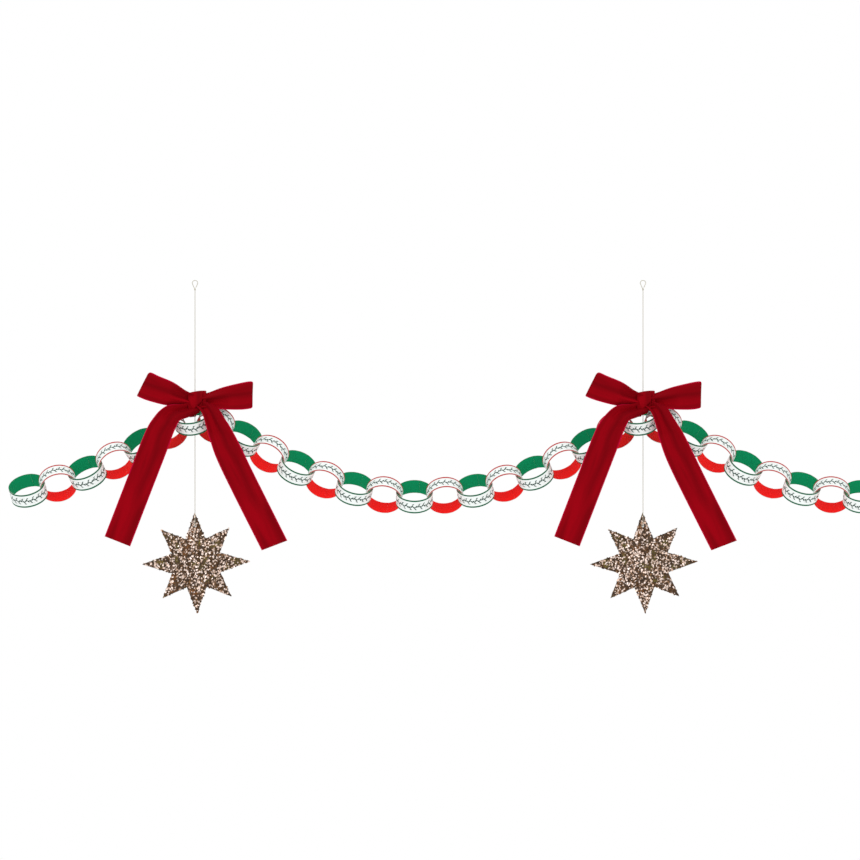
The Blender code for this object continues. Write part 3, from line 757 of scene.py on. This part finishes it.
def joined(name, bands, finish):
    """One mesh from several bands, with their strip coordinates."""
    points, faces, marks = [], [], []
    for band_points, band_faces, band_marks in bands:
        start = len(points)
        points += [tuple(p) for p in band_points]
        marks += band_marks
        faces += [tuple(start + i for i in face) for face in band_faces]
    mesh = bpy.data.meshes.new(name)
    mesh.from_pydata(points, [], faces)
    mesh.materials.append(finish)
    layer = mesh.uv_layers.new(name="strip")
    for loop in mesh.loops:
        layer.data[loop.index].uv = marks[loop.vertex_index]
    mesh.shade_smooth()
    mesh.set_sharp_from_angle(angle=math.radians(50))
    return mesh


def bow_mesh(name):
    """The whole bow about its knot's middle."""
    left = loop_rows(-1, LOOP_REACH_LEFT, LOOP_RISE_LEFT, LOOP_ANGLES_LEFT, LEFT_SHARES)
    right = loop_rows(1, LOOP_REACH_RIGHT, LOOP_RISE_RIGHT, LOOP_ANGLES_RIGHT, RIGHT_SHARES)
    bands = [
        sweep_band(left, PLEATS, 9, wander=LOOP_WANDER, phase=0.4),
        sweep_band(right, PLEATS, 9, wander=LOOP_WANDER, phase=1.9),
        sweep_band(tail_rows(LEFT_TAIL), PLEATS, 12, wander=TAIL_WANDER, phase=0.9),
        sweep_band(tail_rows(RIGHT_TAIL), PLEATS, 12, wander=TAIL_WANDER, phase=2.6),
        strap_band(),
        knot_band(),
    ]
    return joined(name, bands, velvet)


print("knot points:", KNOT_STATIONS * KNOT_SIDES)

# %% [markdown]
# Each bow is tied round its peak ring, so its height follows from where that ring hangs, and it sits on the
# thread's line. Both bows use the same mesh code, because they are tied alike.

# %% Tying the bows
hang_points = {m["name"].split("_")[0]: Vector(m["pos_m"]) for m in frame["record"]["mounts"]}
peak_rings = {"left": "green_link_07", "right": "green_link_23"}
for side, top in hang_points.items():
    bow = add_piece("velvet_bow_" + side, bow_mesh("bow_bands_" + side))
    height = ring_matrices[peak_rings[side]].translation.z + BOW_ABOVE_RING
    bow.location = (top.x, 0.0, height)
    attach(bow, "root")
    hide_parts("bow_" + side, f"bow_{side}_tail_left", f"bow_{side}_tail_right")
    print("bow", side, "knot at", [round(v, 4) for v in bow.location])

# %% [markdown]
# The stars hang on thin thread twisted from two plies. A curve with a round bevel would look like wire, so
# the section here is a rounded figure of eight that turns as it goes. The thread ends in a stopper knot
# behind the star and in a small tied loop at the top.

# %% Twisted thread
THREAD = 1.2 * MM
LOOP_HEIGHT = 14 * MM
LOOP_HALF_WIDTH = 4.2 * MM
KNOT_SWELL = 2.6
THREAD_BEND = 2.6 * MM
STRAIGHT_STEPS = 16
SEAT_GAP = 0.3 * MM
STAR_THICKNESS = 3 * MM
STAR_UPRIGHT_REACH = 75.8 * MM
STAR_SIDE_REACH = 81.0 * MM
STAR_DIAGONAL_REACH = 73.0 * MM
STAR_NOTCH = 39.0 * MM
STAR_MIDDLE_DEPTH = 424.5 * MM
HOLE_BELOW_TIP = 20 * MM
HOLE_RADIUS = 2.2 * MM
STAR_TURN = math.radians(1.5)
HOLE_DEPTH = STAR_MIDDLE_DEPTH - STAR_UPRIGHT_REACH + HOLE_BELOW_TIP


def thread_route(drop):
    """Rows of x, y, z and thickness from the end of the hanging loop down to the knot behind the star."""
    base = -LOOP_HEIGHT
    rows = [(THREAD * 1.05, 0.0, base + 2.1 * THREAD, 1.0)]
    for degrees in range(0, 181, 20):
        turn = math.radians(degrees)
        x = LOOP_HALF_WIDTH * math.cos(turn)
        rows.append((x, 0.0, -LOOP_HALF_WIDTH + LOOP_HALF_WIDTH * math.sin(turn) - THREAD / 2, 1.0))
    rows.append((-THREAD * 0.9, 0.0, base + 1.6 * THREAD, 1.0))
    rows += [(0.0, 0.0, base + 0.6 * THREAD, KNOT_SWELL * 0.8), (0.0, 0.0, base, KNOT_SWELL)]
    rows += [(0.0, 0.0, base - 0.8 * THREAD, KNOT_SWELL * 0.8), (0.0, 0.0, base - 1.8 * THREAD, 1.0)]
    top, low = base - 3.5 * THREAD, -drop + THREAD_BEND
    rows += [(0.0, 0.0, top + (low - top) * k / STRAIGHT_STEPS, 1.0) for k in range(STRAIGHT_STEPS + 1)]
    for degrees in (30, 60, 90):
        turn = math.radians(degrees)
        y, z = THREAD_BEND * (1 - math.cos(turn)), -THREAD_BEND * math.sin(turn)
        rows.append((0.0, y, low + z, 1.0))
    back = THREAD / 2 + SEAT_GAP + STAR_THICKNESS
    rows += [(0.0, back, -drop, 1.0), (0.0, back + SEAT_GAP + 0.4 * THREAD, -drop, KNOT_SWELL)]
    rows += [(0.0, back + SEAT_GAP + 1.4 * THREAD, -drop, KNOT_SWELL), (0.0, back + 2.3 * THREAD, -drop, 0.8)]
    return rows


TWIST = 3.4 * MM
PLY_DEPTH = 0.16
THREAD_SIDES = 10
THREAD_STEP = 0.55 * MM


def thread_mesh(name, route, finish):
    """A tube round the route with a two-ply section, its turns a fixed distance apart."""
    around = THREAD_SIDES
    data = np.array(route)
    runs = np.concatenate([[0], np.cumsum(np.linalg.norm(np.diff(data[:, :3], axis=0), axis=1))])
    count = int(runs[-1] / THREAD_STEP)
    even = np.linspace(0, runs[-1], count)
    path = np.stack([np.interp(even, runs, data[:, i]) for i in range(4)], 1)
    points, marks = [], []
    side = Vector((0, 1, 0))
    for k in range(count):
        here = Vector(path[k, :3])
        ahead = Vector(path[min(k + 1, count - 1), :3] - path[max(k - 1, 0), :3]).normalized()
        side = (side - side.dot(ahead) * ahead).normalized()
        out = ahead.cross(side)
        turn = 2 * math.pi * even[k] / TWIST
        for j in range(around):
            angle = 2 * math.pi * j / around
            radius = THREAD / 2 * path[k, 3] * (1 - PLY_DEPTH + PLY_DEPTH * math.cos(2 * (angle - turn)))
            points.append(here + (side * math.cos(angle) + out * math.sin(angle)) * radius)
            marks.append((even[k], angle - turn))
    faces = [tuple(range(around)), tuple(range(around * (count - 1), around * count))[::-1]]
    for k in range(count - 1):
        for j in range(around):
            a, b = around * k + j, around * k + (j + 1) % around
            faces.append((a, a + around, b + around, b))
    mesh = joined(name, [(points, faces, marks)], finish)
    return mesh, float(runs[-1])


def twisted_thread(name):
    """Two pale cotton plies with a fine metallic strand that catches the light once a turn."""
    paint = Paint(name, Specular_IOR_Level=0.5)
    _, _, turn = strip_coordinates(paint)
    strand = paint.fade((turn * 2).maths("COSINE"), 0.45, 0.85)
    fluff = paint.noise(3000.0, 2.0)
    base = paint.mix(fluff, ink(196, 194, 184), ink(150, 148, 138))
    paint.feed("Base Color", paint.mix(strand * 0.55, base, ink(232, 214, 170)))
    paint.feed("Metallic", strand * 0.8)
    paint.feed("Roughness", 0.62 - strand * 0.3)
    paint.bump(fluff, 0.0001, 0.5)
    return paint.material


thread_finish = twisted_thread("two_ply_thread")
for side, top in hang_points.items():
    route = thread_route(HOLE_DEPTH)
    mesh, length = thread_mesh("thread_plies_" + side, route, thread_finish)
    thread = add_piece("twisted_thread_" + side, mesh)
    thread.location = (top.x, 0.0, 0.0)
    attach(thread, "root")
    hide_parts("hanging_thread_" + side)
    path = [(x + top.x, y, z) for x, y, z, _ in route[::-1]]
    print("thread", side, "is", round(length / MM), "mm long")

# %% [markdown]
# The stars are thick card covered with chunky glitter. From a step away the flakes read as a rough mosaic of
# cream, champagne and bronze, because each lies at its own tilt and catches the light or misses it. So the
# flakes are real: thousands of small closed plates strewn over the card, each with a tone of its own that the
# material turns into a colour. The tone is partly the flake's tint and partly painted light: a painted glint
# on the cream flakes and painted shade on the dark ones.


# %% The star's card
def star_outline():
    """The star's corners about its middle, clockwise from the top point."""
    rows = []
    reaches = [STAR_UPRIGHT_REACH, STAR_DIAGONAL_REACH, STAR_SIDE_REACH, STAR_DIAGONAL_REACH] * 2
    for k in range(2 * len(reaches)):
        angle = math.pi / 2 - k * math.pi / len(reaches)
        reach = STAR_NOTCH if k % 2 else reaches[k // 2]
        rows.append((reach * math.cos(angle), reach * math.sin(angle)))
    return rows


HOLE_MIDDLE = (0.0, STAR_UPRIGHT_REACH - HOLE_BELOW_TIP)
HOLE_SIDES = 32
HOLE_MARGIN = 0.3 * MM
PLATE_BEVEL = 0.12 * MM


def plate_mesh(name, finish):
    """The star plate as one closed shell with a round hole, about its hole, with its edges eased."""
    outer = star_outline()
    angles = [math.pi / 2 - 2 * math.pi * k / HOLE_SIDES for k in range(HOLE_SIDES)]
    hole = [(HOLE_RADIUS * math.cos(a), HOLE_MIDDLE[1] + HOLE_RADIUS * math.sin(a)) for a in angles]
    work = bpy.data.curves.new(name, "CURVE")
    work.dimensions = "2D"
    work.fill_mode = "BOTH"
    work.extrude = STAR_THICKNESS / 2 - PLATE_BEVEL
    work.bevel_depth = PLATE_BEVEL
    work.offset = -PLATE_BEVEL
    for outline in (outer, hole):
        spline = work.splines.new("POLY")
        spline.points.add(len(outline) - 1)
        spline.use_cyclic_u = True
        for point, (x, y) in zip(spline.points, outline):
            point.co = (x, y - HOLE_MIDDLE[1], 0.0, 1.0)
    shape = bpy.data.objects.new(name, work)
    bpy.context.scene.collection.objects.link(shape)
    mesh = bpy.data.meshes.new_from_object(shape)
    bpy.data.objects.remove(shape)
    mesh.materials.clear()
    mesh.materials.append(finish)
    return mesh


def inside_star(points, margin):
    """Which points lie inside the outline, grown by margin."""
    corners = np.array(star_outline())
    grown = corners * (1 + margin / np.linalg.norm(corners, axis=1, keepdims=True))
    inside = np.zeros(len(points), bool)
    for (x1, y1), (x2, y2) in zip(grown, np.roll(grown, -1, 0)):
        crosses = (y1 > points[:, 1]) != (y2 > points[:, 1])
        reach = (x2 - x1) * (points[:, 1] - y1) / (y2 - y1 + 1e-12) + x1
        inside ^= crosses & (points[:, 0] < reach)
    away = np.hypot(points[:, 0] - HOLE_MIDDLE[0], points[:, 1] - HOLE_MIDDLE[1])
    return inside & (away > HOLE_RADIUS + HOLE_MARGIN)


print("star:", round(2 * STAR_SIDE_REACH / MM), "mm from side to side")

# %% [markdown]
# Glitter is shaken over wet glue and lands more or less flat. The flakes start on a grid, are pushed off it
# at random, and tip by some 14 degrees. A particle system could scatter them too. A draw with a fixed seed
# in code gives the same star in every run, and lets each flake carry its own tone, which sets its tint and
# its painted glint or shade.

# %% Strewing the flakes
FLAKE_SPACING = 2.3 * MM
FLAKE_RADIUS = (0.9 * MM, 1.8 * MM)
FLAKE_LIFT = (0.10 * MM, 0.42 * MM)
FLAKE_THICKNESS = 0.09 * MM
FLAKE_STRETCH = 1.4
FLAKE_TIP = 0.24
GRID_REACH = 90 * MM
STAR_MARGIN = -0.4 * MM


def flake_places(rng):
    """Places on a jittered grid over one face."""
    steps = np.arange(-GRID_REACH, GRID_REACH, FLAKE_SPACING)
    grid = np.stack(np.meshgrid(steps, steps), -1).reshape(-1, 2)
    grid = grid + rng.uniform(-0.5, 0.5, grid.shape) * FLAKE_SPACING
    return grid[inside_star(grid, STAR_MARGIN)]


def flakes_mesh(name, seed, finish):
    """Small four- to six-sided plates, each tilted its own way, on both faces of the star."""
    rng = np.random.default_rng(seed)
    points, faces, tints_and_painted_light = [], [], []
    for face in (-1, 1):
        for x, z in flake_places(rng):
            corners = int(rng.integers(4, 7))
            radius = rng.uniform(*FLAKE_RADIUS)
            lift = rng.uniform(*FLAKE_LIFT)
            tilt = Matrix.Rotation(rng.normal(0, FLAKE_TIP), 3, "X")
            tilt = tilt @ Matrix.Rotation(rng.normal(0, FLAKE_TIP), 3, "Z")
            spin = rng.uniform(0, math.tau)
            turn = Matrix.Rotation(rng.uniform(0, math.pi), 3, "Y")
            middle = Vector((x, face * (STAR_THICKNESS / 2 + lift), z - HOLE_MIDDLE[1]))
            start = len(points)
            reach = radius * rng.uniform(0.75, 1.1, corners)
            for level in (-0.5, 0.5):
                for k in range(corners):
                    angle = spin + math.tau * k / corners
                    wide, high = FLAKE_STRETCH * reach[k] * math.cos(angle), reach[k] * math.sin(angle)
                    flat = Vector((wide, level * FLAKE_THICKNESS, high))
                    points.append(middle + tilt @ (turn @ flat))
            base, top = range(start, start + corners), range(start + corners, start + 2 * corners)
            faces += [tuple(base), tuple(top)[::-1]]
            for k in range(corners):
                after = (k + 1) % corners
                faces.append((base[after], base[k], top[k], top[after]))
            # Each flake's tone sets its tint and also a painted glint or painted shade.
            tints_and_painted_light += [rng.uniform()] * (corners + 2)
    mesh = bpy.data.meshes.new(name)
    mesh.from_pydata([tuple(p) for p in points], [], faces)
    mesh.materials.append(finish)
    layer = mesh.attributes.new("tone", "FLOAT", "FACE")
    layer.data.foreach_set("value", tints_and_painted_light)
    return mesh


print("flakes:", round(FLAKE_SPACING / MM, 1), "mm apart")

# %% [markdown]
# Glitter is cut from metallised film, so a flake is a small mirror with a tint. One ramp turns each flake's
# tone into dark bronze, champagne or cream. This is partly the flake's tint and partly painted light: the
# cream carries a painted glint and the dark bronze painted shade. The dark ones drift towards rust in some
# places and olive in others. One material serves all flakes that way, and no tint needs a slot of its own.


# %% Glitter
def glitter_flakes(name):
    """Tinted foil, coloured by each flake's tone: its tint plus a painted glint or shade."""
    paint = Paint(name, Specular_IOR_Level=0.4)
    # The tone gives the flake's tint, with a painted glint on the cream flakes and painted shade on the dark
    # ones.
    tone = paint.node("ShaderNodeAttribute", {"attribute_name": "tone"}, output=2)
    stops = (
        (0.0, ink(44, 28, 14)),
        (0.36, ink(82, 56, 32)),
        (0.55, ink(118, 86, 58)),
        (0.62, ink(200, 172, 154)),
        (0.80, ink(248, 230, 220)),
        (0.97, ink(206, 176, 156)),
    )
    colour = paint.node("ShaderNodeValToRGB", {"stops": stops}, (tone,))
    drift = paint.noise(42.0, 2.0)
    shade = 1 - paint.fade(tone, 0.46, 0.66)
    colour = paint.mix(paint.fade(drift, 0.56, 0.66) * shade * 0.8, colour, ink(122, 76, 34))
    colour = paint.mix((1 - paint.fade(drift, 0.34, 0.44)) * shade * 0.7, colour, ink(104, 94, 42))
    scratch = paint.noise(1500.0, 2.0)
    paint.feed("Base Color", colour)
    paint.feed("Metallic", paint.fade(tone, 0.0, 0.5) * 0.25 + 0.55)
    paint.feed("Roughness", scratch * 0.2 + 0.25)
    return paint.material


def glitter_backing(name):
    """Bronze glue and fine glitter dust between the flakes."""
    paint = Paint(name, Specular_IOR_Level=0.5)
    dust = paint.noise(1900.0, 3.0, roughness=0.7)
    paint.feed("Base Color", paint.mix(paint.fade(dust, 0.4, 0.7), ink(44, 28, 14), ink(98, 70, 42)))
    paint.feed("Metallic", paint.fade(dust, 0.4, 0.7) * 0.6)
    paint.feed("Roughness", dust * 0.4 + 0.3)
    paint.bump(dust, 0.0003, 0.8)
    return paint.material


flake_finish = glitter_flakes("champagne_glitter_flakes")
backing_finish = glitter_backing("glitter_backing")
STAR_FRONT = THREAD / 2 + SEAT_GAP
for seed, (side, top) in enumerate(hang_points.items(), 5):
    plate = add_piece("star_card_" + side, plate_mesh("star_plate_" + side, backing_finish))
    plate.location = (top.x, STAR_FRONT + STAR_THICKNESS / 2, -HOLE_DEPTH)
    plate.rotation_euler = (math.pi / 2, -STAR_TURN, 0.0)
    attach(plate, "root")
    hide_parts("star_" + side)
    flakes = add_piece("star_flakes_" + side, flakes_mesh("star_flakes_" + side, seed, flake_finish))
    flakes.location = plate.location
    flakes.rotation_euler = (0.0, -STAR_TURN, 0.0)
    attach(flakes, "root")
    print("star", side, "has", len(flakes.data.polygons), "flake faces")

# %% [markdown]
# The light is plain: an even white surround, which shows each colour nearly as written, and two wide soft
# lamps that give the rings a lit and a shaded side. The camera sees the surround as pure white. The pale
# floor lies a metre below the garland and fades out at its rim, so that views from above show a soft shadow.

# %% Light and floor
SURROUND = 0.86
FLOOR_DEPTH = -1.5
FLOOR_RADIUS = 3.0
FLOOR_SIDES = 96
# Each lamp's name, place, width in metres and power in watts.
LAMPS = (
    ("key_lamp", (-1.6, -3.2, 1.9), 2.2, 34),
    ("fill_lamp", (2.4, -3.6, -0.9), 2.6, 24),
)


def surround():
    """A white world that is plain white to the camera and in reflections, and softer as a light."""
    world = bpy.data.worlds.new("white_surround")
    world.use_nodes = True
    tree = world.node_tree
    background = tree.nodes["Background"]
    background.inputs["Color"].default_value = (1, 1, 1, 1)
    rays = tree.nodes.new("ShaderNodeLightPath")
    seen = rays.outputs["Is Camera Ray"]
    for name in ("Is Glossy Ray", "Is Transmission Ray"):
        either = tree.nodes.new("ShaderNodeMath")
        either.operation = "MAXIMUM"
        tree.links.new(seen, either.inputs[0])
        tree.links.new(rays.outputs[name], either.inputs[1])
        seen = either.outputs[0]
    strength = tree.nodes.new("ShaderNodeMapRange")
    strength.inputs["To Min"].default_value = SURROUND
    strength.inputs["To Max"].default_value = 1.0
    tree.links.new(seen, strength.inputs["Value"])
    tree.links.new(strength.outputs[0], background.inputs["Strength"])
    bpy.context.scene.world = world


def soft_lamp(name, place, size, power):
    light = bpy.data.lights.new(name, "AREA")
    light.shape = "DISK"
    light.size = size
    light.energy = power
    lamp = bpy.data.objects.new(name, light)
    lamp.location = place
    aim = PICTURE_MIDDLE - Vector(place)
    lamp.rotation_euler = aim.to_track_quat("-Z", "Y").to_euler()
    bpy.context.scene.collection.objects.link(lamp)


def pale_floor():
    """A round floor whose rim fades out."""
    angles = [math.tau * k / FLOOR_SIDES for k in range(FLOOR_SIDES)]
    corners = [(FLOOR_RADIUS * math.cos(a), FLOOR_RADIUS * math.sin(a), 0.0) for a in angles]
    mesh = bpy.data.meshes.new("pale_floor")
    mesh.from_pydata(corners, [], [tuple(range(FLOOR_SIDES))])
    floor = bpy.data.objects.new("pale_floor", mesh)
    floor.location = (PICTURE_MIDDLE.x, 0.0, FLOOR_DEPTH)
    bpy.context.scene.collection.objects.link(floor)
    paint = Paint("pale_floor", Roughness=0.9)
    paint.shader.inputs["Base Color"].default_value = (0.92, 0.92, 0.92, 1.0)
    place = paint.node("ShaderNodeTexCoord", output=3)
    away = paint.node("ShaderNodeVectorMath", {"operation": "LENGTH"}, (place,), output=1)
    paint.feed("Alpha", 1 - paint.fade(away, 0.35 * FLOOR_RADIUS, 0.98 * FLOOR_RADIUS))
    mesh.materials.append(paint.material)


surround()
for lamp in LAMPS:
    soft_lamp(*lamp)
pale_floor()
print("lamps:", len(LAMPS))
